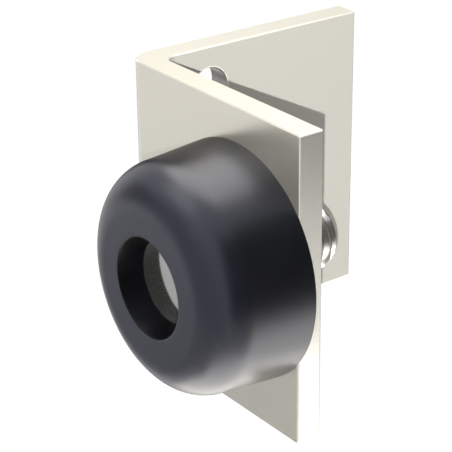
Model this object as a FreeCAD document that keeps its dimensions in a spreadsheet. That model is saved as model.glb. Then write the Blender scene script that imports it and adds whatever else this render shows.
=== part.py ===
import FreeCAD, Part
import os
import Sketcher

# Screw-on door stop. A short length of metal angle is screwed to the wall by one leg. Its other leg
# carries a round rubber buffer, which is moulded round the head of a bolt that screws through the leg.
# Frame: the origin lies on the wall, half-way between the two screw holes. X points away from the wall,
# the buffer faces -Y and Z is up. Sizes are in millimetres, and angles in degrees.

doc = FreeCAD.newDocument("door_stop")
sheet = doc.addObject("Spreadsheet::Sheet", "sizes")

# Driving sizes: name, value and meaning
driving_sizes = [
    ("bracket_length", 45.5, "sawn length of the angle, which stands upright"),
    ("buffer_leg", 40.0, "outside width of the leg that carries the buffer"),
    ("wall_leg", 40.0, "outside width of the leg that lies on the wall"),
    ("leg_thickness", 4.0, "thickness of both legs"),
    ("root_radius", 2.0, "radius of the inside corner between the legs"),
    ("corner_radius", 3.8, "radius of the outside corner between the legs"),
    ("edge_radius", 0.3, "rounding of the legs' free edges"),
    ("saw_chamfer", 0.2, "chamfer round both sawn ends of the angle"),
    ("screw_hole", 6.6, "diameter of the two holes for the wall screws"),
    ("screw_line", 12.0, "distance of the screw holes from the angle's outside corner"),
    ("screw_spacing", 32.5, "distance between the two screw holes"),
    ("buffer_from_wall", 26.5, "distance of the buffer's axis from the wall"),
    ("buffer_above_middle", 0.5, "height of the buffer's axis above the middle of the angle"),
    ("buffer_base", 34.4, "diameter of the rubber where it sits on the leg"),
    ("buffer_draft", 4.3, "slope of the rubber's side"),
    ("buffer_height", 15.0, "height of the rubber above the leg"),
    ("nose_radius", 6.1, "rounding of the rubber's front edge"),
    ("mouth_width", 14.3, "diameter of the recess in the front, at its rim"),
    ("mouth_floor", 12.0, "diameter of the recess at its floor, which is the bolt's head"),
    ("mouth_depth", 3.5, "depth of the recess"),
    ("mouth_edge", 0.25, "chamfer round the recess's rim"),
    ("bolt_diameter", 10.0, "thread diameter of the bolt"),
    ("bolt_reach", 10.3, "how far the bolt stands out behind the leg"),
    ("tip_chamfer", 0.8, "chamfer at the bolt's tip"),
    ("head_flats", 16.0, "width of the hexagonal head across its flats"),
    ("head_height", 6.4, "height of the bolt's head"),
    ("head_face", 15.2, "diameter of the flat face that the bevel leaves on the head"),
    ("head_bevel", 30.0, "slope of the bevel on the head's corners"),
]
for row, (alias, value, meaning) in enumerate(driving_sizes, start=1):
    sheet.set(f"A{row}", meaning)
    sheet.set(f"B{row}", str(value))
    sheet.setAlias(f"B{row}", alias)

# Sizes that follow from the driving ones
following_sizes = [
    ("leg_face", "=-screw_line", "height in Y of the face that the buffer sits on"),
    ("leg_back", "=leg_thickness - screw_line", "the other face of the same leg"),
    ("buffer_front", "=buffer_base / 2 - buffer_height * tan(buffer_draft)", "the rubber's radius in front"),
    ("head_top", "=buffer_height - mouth_depth", "the head's flat face, above the leg"),
    ("head_seat", "=head_top - head_height", "the head's underside, above the leg"),
    ("tip", "=-leg_thickness - bolt_reach", "the bolt's tip, below the leg's face"),
    ("head_corner", "=head_flats / sqrt(3)", "radius of the head's corners"),
]
for row, (alias, formula, meaning) in enumerate(following_sizes, start=len(driving_sizes) + 1):
    sheet.set(f"A{row}", meaning)
    sheet.set(f"B{row}", formula)
    sheet.setAlias(f"B{row}", alias)
doc.recompute()


# Drawing and checking
def sketch_on(body, plane, name):
    """A sketch on one of the body's own origin planes."""
    sketch = body.newObject("Sketcher::SketchObject", name)
    support = next(item for item in body.Origin.OriginFeatures if item.Role == plane)
    sketch.AttachmentSupport = (support, [""])
    sketch.MapMode = "FlatFace"
    return sketch


def draw_outline(sketch, corners):
    """A closed outline of straight lines. Each corner is held by two expressions, across and up."""
    points = [FreeCAD.Vector(*map(sketch.evalExpression, corner)) for corner in corners]
    for start, end in zip(points, points[1:] + points[:1]):
        sketch.addGeometry(Part.LineSegment(start, end), False)
    for line in range(len(points)):
        next_line = (line + 1) % len(points)
        sketch.addConstraint(Sketcher.Constraint("Coincident", line, 2, next_line, 1))
    for line, (point, corner) in enumerate(zip(points, corners)):
        hold_point(sketch, line, 1, point, corner)


def draw_circle(sketch, centre, diameter):
    """A circle. Its centre is held by two expressions and its diameter by one."""
    point = FreeCAD.Vector(*map(sketch.evalExpression, centre))
    width = sketch.evalExpression(diameter)
    circle = sketch.addGeometry(Part.Circle(point, FreeCAD.Vector(0, 0, 1), width / 2), False)
    hold_point(sketch, circle, 3, point, centre)
    held = sketch.addConstraint(Sketcher.Constraint("Diameter", circle, width))
    sketch.setExpression(f"Constraints[{held}]", diameter)


def hold_point(sketch, line, end, point, sizes):
    """Ties a point of a sketch to two expressions, across and up."""
    for direction, place, size in zip(("DistanceX", "DistanceY"), (point.x, point.y), sizes):
        held = sketch.addConstraint(Sketcher.Constraint(direction, line, end, place))
        sketch.setExpression(f"Constraints[{held}]", size)


def edge_names(feature, wanted):
    """Names of a feature's edges that pass a test."""
    edges = enumerate(feature.Shape.Edges, start=1)
    return [f"Edge{number}" for number, edge in edges if wanted(edge)]


def is_ring(edge, radius, height):
    """Tells whether an edge is a level circle of that radius at that height."""
    round_edge = isinstance(edge.Curve, Part.Circle)
    return round_edge and abs(edge.Curve.Radius - radius) < same and abs(edge.Curve.Center.z - height) < same


def size(alias):
    """Value of a size in the sheet."""
    return sheet.getPropertyByName(alias)


# Two measures closer than this are the same
same = 0.001


# Bracket: a sawn length of extruded angle with two plain holes for wall screws and a tapped hole
bracket = doc.addObject("PartDesign::Body", "bracket")
bracket.Label = "bracket"

section = sketch_on(bracket, "XY_Plane", "angle_section")
draw_outline(section, [
    ("0", "sizes.leg_face"),
    ("sizes.buffer_leg", "sizes.leg_face"),
    ("sizes.buffer_leg", "sizes.leg_back"),
    ("sizes.leg_thickness", "sizes.leg_back"),
    ("sizes.leg_thickness", "sizes.wall_leg - sizes.screw_line"),
    ("0", "sizes.wall_leg - sizes.screw_line"),
])
angle = bracket.newObject("PartDesign::Pad", "angle")
angle.Profile = section
angle.SideType = "Symmetric"
angle.setExpression("Length", "sizes.bracket_length")
doc.recompute()

inside_corner = FreeCAD.Vector(size("leg_thickness"), size("leg_back"), 0)
root = bracket.newObject("PartDesign::Fillet", "root")
root.Base = (angle, edge_names(angle, lambda edge: edge.CenterOfMass.isEqual(inside_corner, same)))
root.setExpression("Radius", "sizes.root_radius")
doc.recompute()

outside_corner = FreeCAD.Vector(0, size("leg_face"), 0)
outside = bracket.newObject("PartDesign::Fillet", "outside")
outside.Base = (root, edge_names(root, lambda edge: edge.CenterOfMass.isEqual(outside_corner, same)))
outside.setExpression("Radius", "sizes.corner_radius")
doc.recompute()

# The free edges are the upright ones that end both legs
free_edges = [
    FreeCAD.Vector(size("buffer_leg"), size("leg_face"), 0),
    FreeCAD.Vector(size("buffer_leg"), size("leg_back"), 0),
    FreeCAD.Vector(0, size("wall_leg") - size("screw_line"), 0),
    FreeCAD.Vector(size("leg_thickness"), size("wall_leg") - size("screw_line"), 0),
]
soft_edges = bracket.newObject("PartDesign::Fillet", "soft_edges")
soft_edges.Base = (outside, edge_names(
    outside, lambda edge: any(edge.CenterOfMass.isEqual(middle, same) for middle in free_edges)))
soft_edges.setExpression("Radius", "sizes.edge_radius")
doc.recompute()

# Each sawn end has a small chamfer all round, where the burr was taken off
saw_height = size("bracket_length") / 2
deburring = bracket.newObject("PartDesign::Chamfer", "deburring")
deburring.Base = (soft_edges, edge_names(
    soft_edges, lambda edge: abs(abs(edge.CenterOfMass.z) - saw_height) < same))
deburring.setExpression("Size", "sizes.saw_chamfer")
doc.recompute()

screw_places = sketch_on(bracket, "YZ_Plane", "screw_places")
draw_circle(screw_places, ("0", "sizes.screw_spacing / 2"), "sizes.screw_hole")
draw_circle(screw_places, ("0", "-sizes.screw_spacing / 2"), "sizes.screw_hole")
screw_holes = bracket.newObject("PartDesign::Pocket", "screw_holes")
screw_holes.Profile = screw_places
screw_holes.Type = "ThroughAll"
screw_holes.SideType = "Symmetric"
doc.recompute()

bolt_place = sketch_on(bracket, "XZ_Plane", "bolt_place")
draw_circle(bolt_place, ("sizes.buffer_from_wall", "sizes.buffer_above_middle"), "sizes.bolt_diameter")
bolt_hole = bracket.newObject("PartDesign::Pocket", "bolt_hole")
bolt_hole.Profile = bolt_place
bolt_hole.Type = "ThroughAll"
bolt_hole.SideType = "Symmetric"
doc.recompute()


# The bolt and the rubber are turned about their own Z axis, which starts on the leg's face
def seat_on_leg(body):
    """Lays a turned piece on the leg, with its own Z axis towards -Y."""
    body.Placement = FreeCAD.Placement(FreeCAD.Vector(0, 0, 0), FreeCAD.Rotation(FreeCAD.Vector(1, 0, 0), 90))
    body.setExpression("Placement.Base.x", "sizes.buffer_from_wall")
    body.setExpression("Placement.Base.y", "sizes.leg_face")
    body.setExpression("Placement.Base.z", "sizes.buffer_above_middle")


# Bolt: a hexagon bolt whose head is moulded into the rubber, with its thread in the tapped hole
bolt = doc.addObject("PartDesign::Body", "bolt")
bolt.Label = "bolt"
seat_on_leg(bolt)

shank_outline = sketch_on(bolt, "XZ_Plane", "shank_outline")
draw_outline(shank_outline, [
    ("0", "sizes.tip"),
    ("sizes.bolt_diameter / 2 - sizes.tip_chamfer", "sizes.tip"),
    ("sizes.bolt_diameter / 2", "sizes.tip + sizes.tip_chamfer"),
    ("sizes.bolt_diameter / 2", "sizes.head_seat"),
    ("0", "sizes.head_seat"),
])
shank = bolt.newObject("PartDesign::Revolution", "shank")
shank.Profile = shank_outline
shank.ReferenceAxis = (shank_outline, ["V_Axis"])
shank.Angle = 360
doc.recompute()

hexagon = sketch_on(bolt, "XY_Plane", "hexagon")
hexagon.setExpression("AttachmentOffset.Base.z", "sizes.head_seat")
draw_outline(hexagon, [
    (f"sizes.head_corner * cos({corner} * 60)", f"sizes.head_corner * sin({corner} * 60)")
    for corner in range(6)
])
head = bolt.newObject("PartDesign::Pad", "head")
head.Profile = hexagon
head.setExpression("Length", "sizes.head_height")
doc.recompute()

# The bevel is cut by a ring that reaches one bolt's radius past the corners
bevel_outline = sketch_on(bolt, "XZ_Plane", "bevel_outline")
past_corner = "sizes.head_corner + sizes.bolt_diameter / 2"
draw_outline(bevel_outline, [
    ("sizes.head_face / 2", "sizes.head_top"),
    (past_corner, "sizes.head_top"),
    (past_corner, f"sizes.head_top - ({past_corner} - sizes.head_face / 2) * tan(sizes.head_bevel)"),
])
bevel = bolt.newObject("PartDesign::Groove", "bevel")
bevel.Profile = bevel_outline
bevel.ReferenceAxis = (bevel_outline, ["V_Axis"])
bevel.Angle = 360
doc.recompute()


# Rubber buffer: a moulded cone with a rounded front and a tapered recess that shows the bolt's head
moulding = doc.addObject("PartDesign::Body", "moulding")
moulding.Label = "moulding"
seat_on_leg(moulding)

cone_outline = sketch_on(moulding, "XZ_Plane", "cone_outline")
draw_outline(cone_outline, [
    ("0", "0"),
    ("sizes.buffer_base / 2", "0"),
    ("sizes.buffer_front", "sizes.buffer_height"),
    ("0", "sizes.buffer_height"),
])
cone = moulding.newObject("PartDesign::Revolution", "cone")
cone.Profile = cone_outline
cone.ReferenceAxis = (cone_outline, ["V_Axis"])
cone.Angle = 360
doc.recompute()

nose = moulding.newObject("PartDesign::Fillet", "nose")
nose.Base = (cone, edge_names(
    cone, lambda edge: is_ring(edge, size("buffer_front"), size("buffer_height"))))
nose.setExpression("Radius", "sizes.nose_radius")
doc.recompute()

mouth_outline = sketch_on(moulding, "XZ_Plane", "mouth_outline")
draw_outline(mouth_outline, [
    ("0", "sizes.head_top"),
    ("sizes.mouth_floor / 2", "sizes.head_top"),
    ("sizes.mouth_width / 2", "sizes.buffer_height"),
    ("0", "sizes.buffer_height"),
])
mouth = moulding.newObject("PartDesign::Groove", "mouth")
mouth.Profile = mouth_outline
mouth.ReferenceAxis = (mouth_outline, ["V_Axis"])
mouth.Angle = 360
doc.recompute()

rim = moulding.newObject("PartDesign::Chamfer", "rim")
rim.Base = (mouth, edge_names(
    mouth, lambda edge: is_ring(edge, size("mouth_width") / 2, size("buffer_height"))))
rim.setExpression("Size", "sizes.mouth_edge")
doc.recompute()

rubber_buffer = doc.addObject("Part::Cut", "rubber_buffer")
rubber_buffer.Label = "rubber_buffer"
rubber_buffer.Base = moulding
rubber_buffer.Tool = bolt
doc.recompute()


# Checks: nothing failed, and each cut or rounding took something away
for item in doc.Objects:
    if "Invalid" in item.State or "Error" in item.State:
        raise SystemExit(f"{item.Label} failed: {item.State}")
steps = [(angle, root), (root, outside), (outside, soft_edges), (soft_edges, deburring),
         (deburring, screw_holes), (screw_holes, bolt_hole), (head, bevel), (cone, nose), (nose, mouth),
         (mouth, rim), (moulding, rubber_buffer)]
for before, after in steps:
    print(f"{after.Label}: {before.Shape.Volume:.2f} to {after.Shape.Volume:.2f} cubic millimetres")
    if abs(after.Shape.Volume - before.Shape.Volume) < same:
        raise SystemExit(f"{after.Label} changed nothing")

# Each piece goes to a file of its own
os.makedirs("parts", exist_ok=True)
for piece in (bracket, bolt, rubber_buffer):
    if piece.Shape.isNull() or not piece.Shape.isValid() or len(piece.Shape.Solids) != 1:
        raise SystemExit(f"{piece.Label} isn't one sound solid")
    piece.Shape.exportStep(f"parts/{piece.Label}.step")
    box = piece.Shape.BoundBox
    print(f"{piece.Label}: X {box.XMin:.2f} to {box.XMax:.2f}, Y {box.YMin:.2f} to {box.YMax:.2f},"
          f" Z {box.ZMin:.2f} to {box.ZMax:.2f}, volume {piece.Shape.Volume:.1f}")
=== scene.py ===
import math

import bmesh
import bpy
import numpy as np
from mathutils import Matrix, Vector


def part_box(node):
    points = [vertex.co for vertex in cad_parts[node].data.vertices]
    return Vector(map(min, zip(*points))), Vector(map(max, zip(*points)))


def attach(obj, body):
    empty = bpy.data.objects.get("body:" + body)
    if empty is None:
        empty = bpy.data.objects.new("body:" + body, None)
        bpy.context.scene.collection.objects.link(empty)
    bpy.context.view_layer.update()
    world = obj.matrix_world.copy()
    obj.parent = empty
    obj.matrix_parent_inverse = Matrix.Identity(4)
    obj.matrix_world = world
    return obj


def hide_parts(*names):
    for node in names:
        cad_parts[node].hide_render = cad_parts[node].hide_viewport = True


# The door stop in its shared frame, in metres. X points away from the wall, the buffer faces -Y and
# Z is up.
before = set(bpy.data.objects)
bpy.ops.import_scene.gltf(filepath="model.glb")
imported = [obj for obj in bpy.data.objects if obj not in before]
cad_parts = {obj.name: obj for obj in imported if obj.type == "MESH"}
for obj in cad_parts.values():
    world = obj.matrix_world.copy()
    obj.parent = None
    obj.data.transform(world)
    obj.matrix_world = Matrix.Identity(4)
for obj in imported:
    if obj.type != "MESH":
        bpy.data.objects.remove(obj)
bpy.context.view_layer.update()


# Bracket: a sawn length of angle, 40 x 40 x 4 mm, in light metal with a warm tint. One leg lies on the
# wall and has two plain screw holes, and the other carries the buffer in a tapped hole. Its solid has
# the true form, so it only gets its finish here.
mm = 0.001
leg_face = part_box("rubber_buffer")[1].y
leg_back = leg_face + 4 * mm
leg_end, wall_leg_end, saw_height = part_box("bracket")[1]
hole_height = 16.25 * mm
hole_radius = 3.32 * mm
painted_highlight_width = 0.1 * mm
satin_ends, mill_starts = leg_face + 1.2 * mm, leg_face + 3.4 * mm
roll_starts, roll_ends = leg_face + 0.12 * mm, leg_face + 0.3 * mm


def connect(tree, source, target):
    """Joins an output socket to an input socket of the same node tree."""
    tree.links.new(source, target)


def add_node(tree, kind, **values):
    """A node whose input sockets take the given values, by name with low lines for spaces."""
    node = tree.nodes.new(kind)
    for name, value in values.items():
        node.inputs[name.replace("_", " ")].default_value = value
    return node


def new_finish(name, **values):
    """An empty finish: its tree, its shader and the object's own coordinates in metres."""
    finish = bpy.data.materials.new(name)
    finish.use_nodes = True
    tree = finish.node_tree
    shader = tree.nodes["Principled BSDF"]
    for socket, value in values.items():
        shader.inputs[socket.replace("_", " ")].default_value = value
    place = tree.nodes.new("ShaderNodeTexCoord").outputs["Object"]
    return finish, tree, shader, place


def speckle(tree, place, scale, detail=3.0):
    """Cloudy values round a half, in lumps of about one over scale metres."""
    noise = add_node(tree, "ShaderNodeTexNoise", Scale=scale, Detail=detail)
    connect(tree, place, noise.inputs["Vector"])
    return noise.outputs["Fac"]


def between(tree, value, low, high, start=0.3, end=0.7):
    """Carries a value from the range start to end over to the range low to high."""
    spread = add_node(tree, "ShaderNodeMapRange", From_Min=start, From_Max=end, To_Min=low, To_Max=high)
    connect(tree, value, spread.inputs["Value"])
    return spread.outputs["Result"]


def tinted(tree, share, first, second):
    """A colour between two others."""
    mix = tree.nodes.new("ShaderNodeMix")
    mix.data_type = "RGBA"
    mix.inputs[6].default_value = (*first, 1)
    mix.inputs[7].default_value = (*second, 1)
    connect(tree, share, mix.inputs["Factor"])
    return mix.outputs[2]


def raise_grain(tree, shader, height, depth):
    """Raises the surface by a pattern, as deep as depth in metres."""
    bump = add_node(tree, "ShaderNodeBump", Strength=1.0, Distance=depth)
    connect(tree, height, bump.inputs["Height"])
    connect(tree, bump.outputs["Normal"], shader.inputs["Normal"])


def part_way(tree, place, axis, low, high):
    """A share that rises from none to all while a point passes from low to high along one axis."""
    split = tree.nodes.new("ShaderNodeSeparateXYZ")
    connect(tree, place, split.inputs["Vector"])
    return between(tree, split.outputs[axis], 0.0, 1.0, low, high)


def blend(tree, share, first, second):
    """A number between two others, which may be sockets or plain numbers."""
    mix = tree.nodes.new("ShaderNodeMix")
    connect(tree, share, mix.inputs["Factor"])
    for value, target in ((first, mix.inputs[2]), (second, mix.inputs[3])):
        if isinstance(value, (int, float)):
            target.default_value = value
        else:
            connect(tree, value, target)
    return mix.outputs[0]


def blend_tint(tree, share, first, second):
    """A colour between two colour sockets."""
    mix = tree.nodes.new("ShaderNodeMix")
    mix.data_type = "RGBA"
    connect(tree, share, mix.inputs["Factor"])
    connect(tree, first, mix.inputs[6])
    connect(tree, second, mix.inputs[7])
    return mix.outputs[2]


def at_outer_face(tree, place, axis, face, outwards=1):
    """A share that is all on an outer face and fades out 0.05 to 0.25 mm within it."""
    return part_way(tree, place, axis, face - 0.25 * mm * outwards, face - 0.05 * mm * outwards)


def inside_holes(tree, place, radius):
    """A share that is all within radius of the two screw holes' axes, which run along X as far above the
    middle as below it, and fades out over 0.03 mm."""
    flat = add_node(tree, "ShaderNodeMapping", Scale=(0, 1, 1))
    upright = tree.nodes.new("ShaderNodeVectorMath")
    upright.operation = "ABSOLUTE"
    connect(tree, place, upright.inputs[0])
    connect(tree, upright.outputs["Vector"], flat.inputs["Vector"])
    axis = tree.nodes.new("ShaderNodeVectorMath")
    axis.operation = "DISTANCE"
    connect(tree, flat.outputs["Vector"], axis.inputs[0])
    axis.inputs[1].default_value = (0, 0, hole_height)
    return between(tree, axis.outputs["Value"], 1.0, 0.0, radius, radius + 0.03 * mm)


def angle_metal():
    """Light metal with a fine grain and faint clouds. The leg with the buffer is rubbed satin, and its
    free edge and the sawn ends are brighter. The wall's leg keeps the dull skin of the mill, with painted
    shade that darkens it towards the inner corner of the angle, and its screw holes are drilled metal with
    painted shade darkening their walls and a thin painted highlight round their edge."""
    finish, tree, shader, place = new_finish("angle_metal")
    clouds = speckle(tree, place, scale=160)
    grain = speckle(tree, place, scale=3500, detail=4.0)
    satin_tint = tinted(tree, clouds, (0.595, 0.575, 0.515), (0.62, 0.60, 0.54))
    # The wall leg's skin is darker next to the inner corner of the angle: painted shade.
    corner_shaded_skin = tinted(tree, grain, (0.34, 0.34, 0.327), (0.385, 0.385, 0.367))
    outer_skin = tinted(tree, grain, (0.41, 0.41, 0.397), (0.455, 0.455, 0.442))
    mill_tint_and_corner_shade = blend_tint(tree, part_way(tree, place, "Y", leg_back, wall_leg_end), corner_shaded_skin, outer_skin)
    sawn_tint = tinted(tree, clouds, (0.92, 0.905, 0.845), (0.96, 0.945, 0.885))
    edge_tint = tinted(tree, grain, (0.68, 0.68, 0.665), (0.80, 0.80, 0.78))
    # The holes' walls are tinted dark: painted shade inside the holes.
    shaded_hole_tint = tinted(tree, clouds, (0.26, 0.25, 0.235), (0.31, 0.30, 0.28))

    mill = part_way(tree, place, "Y", satin_ends, mill_starts)
    tint = blend_tint(tree, mill, satin_tint, mill_tint_and_corner_shade)
    metal = blend(tree, mill, 0.89, 0.09)
    roughness = blend(tree, mill, between(tree, clouds, 0.25, 0.268), 0.5)

    # The rounding between the leg's face and its upper sawn end stays satin
    behind_roll = part_way(tree, place, "Y", roll_starts, roll_ends)
    sawn_above = blend(tree, behind_roll, 0.0, at_outer_face(tree, place, "Z", saw_height))
    sawn_below = at_outer_face(tree, place, "Z", -saw_height, outwards=-1)
    free_edge = at_outer_face(tree, place, "X", leg_end)
    # A thin pale band round each hole's edge: a painted highlight.
    rim = inside_holes(tree, place, hole_radius + painted_highlight_width)
    drilled = inside_holes(tree, place, hole_radius)
    for where, its_tint, its_metal, its_roughness in (
        (free_edge, edge_tint, 0.87, 0.15),
        (sawn_above, sawn_tint, 0.57, 0.3),
        (sawn_below, sawn_tint, 0.57, 0.3),
        (rim, sawn_tint, 0.3, 0.4),
        (drilled, shaded_hole_tint, 0.95, 0.25),
    ):
        tint = blend_tint(tree, where, tint, its_tint)
        metal = blend(tree, where, metal, its_metal)
        roughness = blend(tree, where, roughness, its_roughness)
    connect(tree, tint, shader.inputs["Base Color"])
    connect(tree, metal, shader.inputs["Metallic"])
    connect(tree, roughness, shader.inputs["Roughness"])
    raise_grain(tree, shader, grain, 0.00005 * mm)
    return finish


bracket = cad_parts["bracket"]
bracket.data.materials.clear()
bracket.data.materials.append(angle_metal())


# Bolt: an M10 hexagon bolt in bright zinc plate. Its head is moulded into the rubber, where it shows as
# the floor of the recess, and its thread goes through the leg and stands out behind it.
bolt_low, bolt_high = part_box("bolt")
buffer_x = (bolt_low.x + bolt_high.x) / 2
buffer_z = (bolt_low.z + bolt_high.z) / 2
bolt_radius = 5 * mm
thread_pitch = 1.5 * mm
thread_depth = 0.92 * mm
crest_share = 0.12
root_share = 0.20
tip = leg_face - bolt_high.y
head_top = leg_face - bolt_low.y
head_seat = head_top - 6.4 * mm
tip_chamfer = 0.8 * mm
head_flats = 16 * mm
head_face = 7.6 * mm
head_bevel = math.radians(30)


def laid_on_leg(radius, turn, height):
    """Points round the buffer's axis. Across is radius times the cosine of the turn, up is radius times
    its sine, and height is measured from the leg's face towards the door, which is -Y."""
    across = buffer_x + radius * np.cos(turn)
    up = buffer_z + radius * np.sin(turn)
    return np.stack([across, leg_face - height, up], axis=-1)


def skin(points):
    """A grid's faces: each joins a point, its neighbour along the row and the two in the next row."""
    rows, columns = points.shape[:2]
    first = (np.arange(rows - 1)[:, None] * columns + np.arange(columns - 1)).ravel()
    return np.stack([first, first + 1, first + columns + 1, first + columns], axis=-1)


def make_piece(name, grids, finish, smooth_angle=40.0):
    """A mesh of several grids. Points that meet are joined, which closes seams and poles, and then the
    faces are turned outwards."""
    corners, faces, start = [], [], 0
    for points in grids:
        corners.append(points.reshape(-1, 3))
        faces.append(skin(points) + start)
        start += corners[-1].shape[0]
    mesh = bpy.data.meshes.new(name)
    mesh.from_pydata(np.concatenate(corners).tolist(), [], np.concatenate(faces).tolist())
    joined = bmesh.new()
    joined.from_mesh(mesh)
    bmesh.ops.remove_doubles(joined, verts=joined.verts, dist=0.0005 * mm)
    bmesh.ops.dissolve_degenerate(joined, edges=joined.edges, dist=0.0001 * mm)
    bmesh.ops.recalc_face_normals(joined, faces=joined.faces)
    joined.to_mesh(mesh)
    joined.free()
    mesh.shade_smooth()
    mesh.set_sharp_from_angle(angle=math.radians(smooth_angle))
    mesh.materials.append(finish)
    piece = bpy.data.objects.new(name, mesh)
    bpy.context.scene.collection.objects.link(piece)
    return piece


def thread_radius(turn, height):
    """The thread's radius at a turn and height. The share of a pitch that lies between the point and the
    nearest crest says how far down the straight flank it is, and the tip's chamfer limits it."""
    phase = (height - tip) / thread_pitch - turn / (2 * np.pi)
    from_crest = np.abs(phase - np.round(phase))
    flank = (1 - crest_share - root_share) / 2
    into_flank = np.clip((from_crest - crest_share / 2) / flank, 0, 1)
    return np.minimum(bolt_radius - thread_depth * into_flank, bolt_radius - tip_chamfer + height - tip)


def thread(columns, steps=8):
    """The threaded shank as one strip, a pitch wide, wound up the axis: a point's height is the tip's plus
    its turn and its share across the strip, times the pitch, kept between the tip and the head."""
    turns = math.ceil((head_seat - tip) / thread_pitch) + 1
    turn = np.arange(turns * columns + 1) * 2 * np.pi / columns
    crest, root = crest_share / 2, 0.5 - root_share / 2
    down = np.concatenate([[0], np.linspace(crest, root, steps), [0.5]])
    share = np.concatenate([down, 1 - down[-2::-1]])
    turn, share = np.meshgrid(turn, share, indexing="ij")
    height = np.clip(tip + thread_pitch * (turn / (2 * np.pi) - 1 + share), tip, head_seat)
    return laid_on_leg(thread_radius(turn, height), turn, height)


def hexagon_edge(turn):
    """Radius and height of the hexagon's upper edge. The radius is half the width across the flats over
    the cosine of the turn from the nearest flat's middle, and the bevel falls past the flat face."""
    edge = head_flats / 2 / np.cos(turn % (np.pi / 3) - np.pi / 6)
    return edge, head_top - (edge - head_face) * math.tan(head_bevel)


def bolt_ends(columns):
    """Rings round the axis that close the shank at its tip, and the head's rings: the flat face, the bevel,
    the flats and the underside, which ends at the thread."""
    turn = np.linspace(0, 2 * np.pi, columns + 1)
    level = np.ones_like(turn)
    edge, edge_height = hexagon_edge(turn)
    cap = [(0 * level, tip * level), (thread_radius(turn, tip), tip * level)]
    head = [
        (0 * level, head_top * level),
        (head_face / 2 * level, head_top * level),
        (head_face * level, head_top * level),
        (edge, edge_height),
        (edge, head_seat * level),
        (thread_radius(turn, head_seat), head_seat * level),
    ]
    return [laid_on_leg(rings[:, 0], turn, rings[:, 1]) for rings in (np.array(cap), np.array(head))]


def bright_zinc():
    """Bright zinc plate: pale metal with faint clouds. The head's face is smooth and warmer than the thread,
    and painted shade makes it a little darker where it lies in the rubber's recess."""
    finish, tree, shader, place = new_finish("bright_zinc", Metallic=0.975)
    clouds = speckle(tree, place, scale=300)
    grain = speckle(tree, place, scale=4000)
    shank = part_way(tree, place, "Y", leg_face - head_seat, leg_face)
    # The head's darker tint is painted shade of the recess.
    head_tint_with_painted_shade = tinted(tree, clouds, (0.57, 0.565, 0.55), (0.61, 0.605, 0.59))
    shank_tint = tinted(tree, clouds, (0.69, 0.695, 0.70), (0.75, 0.755, 0.76))
    connect(tree, blend_tint(tree, shank, head_tint_with_painted_shade, shank_tint), shader.inputs["Base Color"])
    connect(tree, blend(tree, shank, 0.07, between(tree, grain, 0.19, 0.25)), shader.inputs["Roughness"])
    raise_grain(tree, shader, grain, 0.00002 * mm)
    return finish


columns = 96
bolt_skin = [thread(columns), *bolt_ends(columns)]
bolt = make_piece("bolt_visual", bolt_skin, bright_zinc(), smooth_angle=25.0)
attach(bolt, "root")
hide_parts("bolt")


# Rubber buffer: one dark moulding, vulcanised round the bolt's head. Its side has a little draft, its
# front edge is large and round, and a tapered recess in the middle shows the head.
rubber_low, rubber_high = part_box("rubber_buffer")
base_radius = (rubber_high.x - rubber_low.x) / 2
front = leg_face - rubber_low.y
draft = math.radians(4.3)
nose_radius = 6.1 * mm
mouth_radius = 7.15 * mm
mouth_edge = 0.25 * mm
floor_radius = 6.0 * mm
# Where the painted bluish light on the rubber's front begins.
painted_blue_starts = leg_face - 9 * mm


def arc(centre, radius, start, end, steps):
    """Points of a circle's arc between two angles, as pairs of radius and height."""
    angle = np.linspace(start, end, steps)
    return np.stack([centre[0] + radius * np.cos(angle), centre[1] + radius * np.sin(angle)], axis=-1)


def buffer_outline():
    """The buffer's profile from its foot to the recess's floor. The nose is an arc that touches the
    drafted side and the flat front, and the rim is a small arc between the front and the recess."""
    nose_height = front - nose_radius
    nose_centre = base_radius - (nose_radius + nose_height * math.sin(draft)) / math.cos(draft)
    nose = arc((nose_centre, nose_height), nose_radius, draft, math.pi / 2, steps=40)
    side = np.linspace((base_radius, 0), nose[0], 8)[:-1]
    lean = math.atan2(mouth_radius - floor_radius, front - head_top)
    reach = mouth_edge * math.tan((math.pi / 2 - lean) / 2)
    rim_centre = (mouth_radius + reach, front - mouth_edge)
    rim = arc(rim_centre, mouth_edge, math.pi / 2, math.pi - lean, steps=8)
    flat = np.linspace(nose[-1], rim[0], 6)[1:-1]
    wall = np.linspace(rim[-1], (floor_radius, head_top), 6)[1:]
    return np.concatenate([side, nose, flat, rim, wall])


def rubber_skin(columns):
    """The buffer's whole skin: its outline carried round the axis, closed inside by the hollow that the
    bolt's head and shank fill. The hollow's radius follows the hexagon."""
    turn = np.linspace(0, 2 * np.pi, columns + 1)
    outline = buffer_outline()
    level = np.ones_like(turn)
    edge, edge_height = hexagon_edge(turn)
    radius = np.concatenate([outline[:, :1] * level, [head_face * level, edge, edge],
                             np.array([[bolt_radius], [bolt_radius], [base_radius]]) * level])
    height = np.concatenate([outline[:, 1:] * level, [head_top * level, edge_height, head_seat * level],
                             np.array([[head_seat], [0], [0]]) * level])
    return laid_on_leg(radius, turn[None, :], height)


def moulded_rubber(name, side_tint, front_tint, smooth, dull, **values):
    """Dark rubber with a faint bloom. Its tint changes from the side's to the front's, where a bluer front
    tint is a painted bluish light. Its roughness lies between smooth and dull."""
    finish, tree, shader, place = new_finish(name, **values)
    bloom = speckle(tree, place, scale=220)
    grain = speckle(tree, place, scale=6000)
    to_front = part_way(tree, place, "Y", painted_blue_starts, rubber_low.y)
    tint = blend_tint(tree, to_front, tinted(tree, bloom, *side_tint), tinted(tree, bloom, *front_tint))
    connect(tree, tint, shader.inputs["Base Color"])
    connect(tree, between(tree, bloom, smooth, dull), shader.inputs["Roughness"])
    raise_grain(tree, shader, grain, 0.0004 * mm)
    return finish


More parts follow.
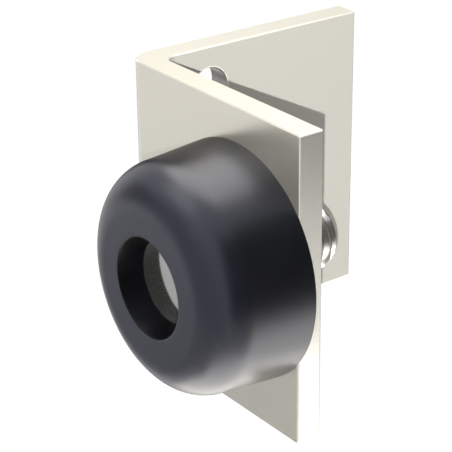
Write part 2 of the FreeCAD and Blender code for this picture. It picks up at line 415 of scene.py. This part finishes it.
blue_shine = (0.80, 0.83, 1.0, 1.0)
black = ((0.0015, 0.0017, 0.0022), (0.0025, 0.0027, 0.0034))
# The front's bluer black is a painted bluish light on the rubber's front.
black_with_painted_blue = ((0.0020, 0.0022, 0.0062), (0.0035, 0.0038, 0.0085))
# The recess's blacker tint is painted shade.
recess_shade_black = ((0.0008, 0.0009, 0.0013), (0.0014, 0.0015, 0.002))
polished = moulded_rubber(
    "polished_rubber", black, black_with_painted_blue, smooth=0.32, dull=0.35, IOR=1.66, Specular_Tint=blue_shine
)
plain = moulded_rubber(
    "dull_shaded_rubber", recess_shade_black, recess_shade_black, smooth=0.4, dull=0.45, IOR=1.27, Specular_Tint=blue_shine
)
buffer = make_piece("rubber_buffer_visual", [rubber_skin(columns=192)], polished)
buffer.data.materials.append(plain)

# The recess, with its rim, is rougher than the polished outside, and painted shade darkens it with a blacker
# tint and a lower IOR
centres = np.empty(len(buffer.data.polygons) * 3)
buffer.data.polygons.foreach_get("center", centres)
centres = centres.reshape(-1, 3)
from_axis = np.hypot(centres[:, 0] - buffer_x, centres[:, 2] - buffer_z)
recess = from_axis < mouth_radius + 0.05 * mm
buffer.data.polygons.foreach_set("material_index", recess.astype(np.int32))
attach(buffer, "root")
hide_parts("rubber_buffer")


# Camera: above and to the right of the stop, a quarter of a metre away, with a long lens. Its place, aim
# and roll were worked out from the bracket's straight edges.
camera_place = Vector((0.193114, -0.136422, 0.100233))
camera_aim = Vector((0.026881, -0.014117, 0.006175))
camera_roll = math.radians(-0.6084)
lens = bpy.data.cameras.new("photograph")
lens.lens = 133.3135
camera = bpy.data.objects.new("photograph", lens)
bpy.context.scene.collection.objects.link(camera)
gaze = (camera_aim - camera_place).to_track_quat("-Z", "Y").to_matrix()
camera_turn = gaze @ Matrix.Rotation(camera_roll, 3, "Z")
camera.matrix_world = Matrix.Translation(camera_place) @ camera_turn.to_4x4()
bpy.context.scene.camera = camera


# Studio: a white room with a pale floor well below the stop, four round soft boxes, and curved screens of
# dark cloth on the right and behind and of grey cloth in front and on the left. One small lamp beside the
# camera draws the hard shadow on the wall's leg.
floor_height = -0.4
floor_reach = 1.2
stop_middle = Vector((20 * mm, 0, 0))


def seen_from_stop(azimuth, elevation, distance):
    """Points at a distance from the stop: azimuth 0 is -Y and 90 is +X, in degrees, and elevation is above
    the horizon."""
    a, e = np.radians(azimuth), np.radians(elevation)
    across = stop_middle.x + distance * np.sin(a) * np.cos(e)
    away = stop_middle.y - distance * np.cos(a) * np.cos(e)
    return np.stack([across, away, stop_middle.z + distance * np.sin(e)], axis=-1)


def soft_box(name, azimuth, elevation, distance, half_angle, brightness):
    """A round soft box that faces the stop and covers half_angle on each side of its middle. Brightness 1
    is a white sheet's, which takes pi times the disc's area in watts. The camera doesn't see it."""
    radius = distance * math.tan(math.radians(half_angle))
    lamp = bpy.data.lights.new(name, "AREA")
    lamp.shape = "DISK"
    lamp.size = 2 * radius
    lamp.energy = brightness * math.pi * math.pi * radius ** 2
    lamp.color = (1.0, 0.95, 0.83)
    stand = bpy.data.objects.new(name, lamp)
    place = Vector(seen_from_stop(azimuth, elevation, distance))
    stand.location = place
    stand.rotation_euler = (stop_middle - place).to_track_quat("-Z", "Y").to_euler()
    stand.visible_camera = False
    bpy.context.scene.collection.objects.link(stand)
    return stand


def stage_piece(name, points, finish):
    """A floor or screen: a grid of points with its finish, which isn't part of the stop."""
    mesh = bpy.data.meshes.new(name)
    mesh.from_pydata(points.reshape(-1, 3).tolist(), [], skin(points).tolist())
    mesh.shade_smooth()
    mesh.materials.append(finish)
    piece = bpy.data.objects.new(name, mesh)
    bpy.context.scene.collection.objects.link(piece)
    return piece


def floor_paper():
    """White paper with a faint grain. The camera and all that mirrors it see it nearly plain white, and
    dull faces are lit by it as by paper."""
    finish, tree, shader, place = new_finish("floor_paper", Roughness=0.9)
    shader.inputs["Base Color"].default_value = (0.8, 0.8, 0.8, 1)
    raise_grain(tree, shader, speckle(tree, place, scale=2000), 0.01 * mm)
    white = add_node(tree, "ShaderNodeEmission", Color=(1, 1, 1, 1), Strength=1.05)
    rays = tree.nodes.new("ShaderNodeLightPath")
    seen = rays.outputs["Is Camera Ray"]
    for kind in ("Is Glossy Ray", "Is Transmission Ray"):
        either = tree.nodes.new("ShaderNodeMath")
        either.operation = "MAXIMUM"
        connect(tree, seen, either.inputs[0])
        connect(tree, rays.outputs[kind], either.inputs[1])
        seen = either.outputs["Value"]
    share = between(tree, seen, 0.0, 0.93, 0.0, 1.0)
    choose = tree.nodes.new("ShaderNodeMixShader")
    connect(tree, share, choose.inputs["Fac"])
    connect(tree, shader.outputs["BSDF"], choose.inputs[1])
    connect(tree, white.outputs["Emission"], choose.inputs[2])
    connect(tree, choose.outputs["Shader"], tree.nodes["Material Output"].inputs["Surface"])
    return finish


def cloth(name, shade, foot_shade=None, foot=(0, 0), cast=(1.0, 1.0, 1.0)):
    """Cloth with a faint weave in the cast's tint. Where it has a foot shade, it changes to that between
    the foot's two heights."""
    finish, tree, shader, place = new_finish(name, Roughness=1.0)
    weave = speckle(tree, place, scale=400)
    darkest, palest = 0.9 * np.array(cast), 1.1 * np.array(cast)
    tint = tinted(tree, weave, shade * darkest, shade * palest)
    if foot_shade is not None:
        foot_tint = tinted(tree, weave, foot_shade * darkest, foot_shade * palest)
        tint = blend_tint(tree, part_way(tree, place, "Z", *foot), tint, foot_tint)
    connect(tree, tint, shader.inputs["Base Color"])
    return finish


def curved_screen(name, distance, azimuths, elevations, finish):
    """A part of a ball's skin round the stop, between two azimuths and two elevations. The camera doesn't
    see it."""
    azimuth, elevation = np.meshgrid(np.linspace(*azimuths, 60), np.linspace(*elevations, 30), indexing="ij")
    screen = stage_piece(name, seen_from_stop(azimuth, elevation, distance), finish)
    screen.visible_camera = False


side = np.array([-floor_reach, floor_reach])
floor_grid = np.stack([*np.meshgrid(side, side), np.full((2, 2), floor_height)], axis=-1)
floor = stage_piece("floor", floor_grid, floor_paper())

black_cloth = cloth("black_cloth", 0.04)
dark_cloth = cloth("dark_cloth", 0.04, foot_shade=0.64, foot=(-0.18, -0.245))
side_cloth = cloth("side_cloth", 0.22)
grey_cloth = cloth("grey_cloth", 0.42, foot_shade=0.5, foot=(-0.22, -0.3))
low_cloth = cloth("low_cloth", 0.42, foot_shade=0.40, foot=(-0.18, -0.26), cast=(1.0, 1.05, 1.16))
curved_screen("dark_screen", 0.55, (52, 196), (-41, 50), dark_cloth)
curved_screen("rear_screen", 0.55, (196, 255), (-46, 50), black_cloth)
curved_screen("side_screen", 0.5, (288, 320), (-6, 19), side_cloth)
curved_screen("grey_screen", 0.45, (-35, 44), (-48, 26), grey_cloth)
curved_screen("low_screen", 0.43, (-85, -35), (-46, -24), low_cloth)
curved_screen("foot_screen", 0.44, (-30, -8), (-63, -50), black_cloth)

soft_box("soft_box_above", azimuth=232, elevation=62, distance=0.5, half_angle=29, brightness=3.6)
soft_box("soft_box_below", azimuth=280, elevation=-89, distance=0.39, half_angle=32.5, brightness=2.95)
soft_box("soft_box_behind", azimuth=128, elevation=-45, distance=0.42, half_angle=15, brightness=2.5)
soft_box("soft_box_in_front", azimuth=328, elevation=56, distance=0.5, half_angle=18, brightness=1.6)

# The lamp stands a little to the right of the camera and below it, and only lights dull faces
lamp = bpy.data.lights.new("lamp", "POINT")
lamp.energy = 2.6
lamp.shadow_soft_size = 0.0006
lamp.color = (1.0, 0.97, 0.90)
lamp_stand = bpy.data.objects.new("lamp", lamp)
lamp_stand.location = (0.1533, -0.1039, 0.0719)
lamp_stand.visible_camera = False
lamp_stand.visible_glossy = False
bpy.context.scene.collection.objects.link(lamp_stand)

room = bpy.data.worlds.new("studio")
room.use_nodes = True
room.node_tree.nodes["Background"].inputs["Color"].default_value = (1, 1, 1, 1)
room.node_tree.nodes["Background"].inputs["Strength"].default_value = 1.0
bpy.context.scene.world = room

bpy.context.scene.view_settings.view_transform = "Standard"
